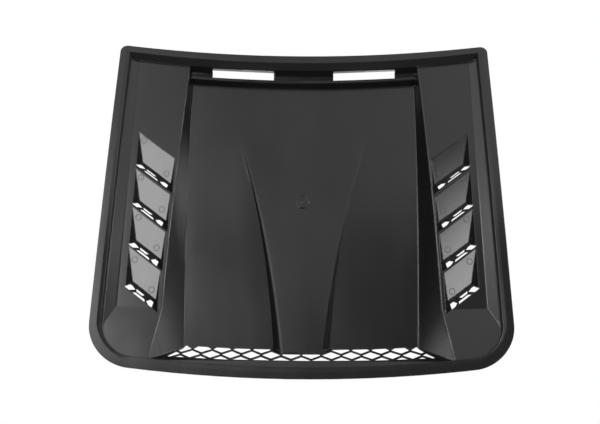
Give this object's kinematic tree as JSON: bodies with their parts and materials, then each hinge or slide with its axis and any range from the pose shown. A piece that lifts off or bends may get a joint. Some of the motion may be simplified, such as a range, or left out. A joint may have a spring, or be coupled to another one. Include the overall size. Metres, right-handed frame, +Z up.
{
  "type": "bonnet scoop",
  "caption": "Thin moulded bonnet scoop with a bonding rim, a raised hood with a honeycomb mouth and a tapering valley, and a tray of louvred gills on each side.",
  "frame": {"origin": "centre of the plan, on the level of the lowest points of the rim", "axes": "+X across the car, -Y to the front where the mouth is, +Z up from the bonnet"},
  "size_m": [0.895, 0.8113, 0.1024],
  "materials": {
    "satin_black": "satin"
  },
  "bodies": {
    "root": {"scoop_panel": "satin_black"}
  },
  "joints": []
}
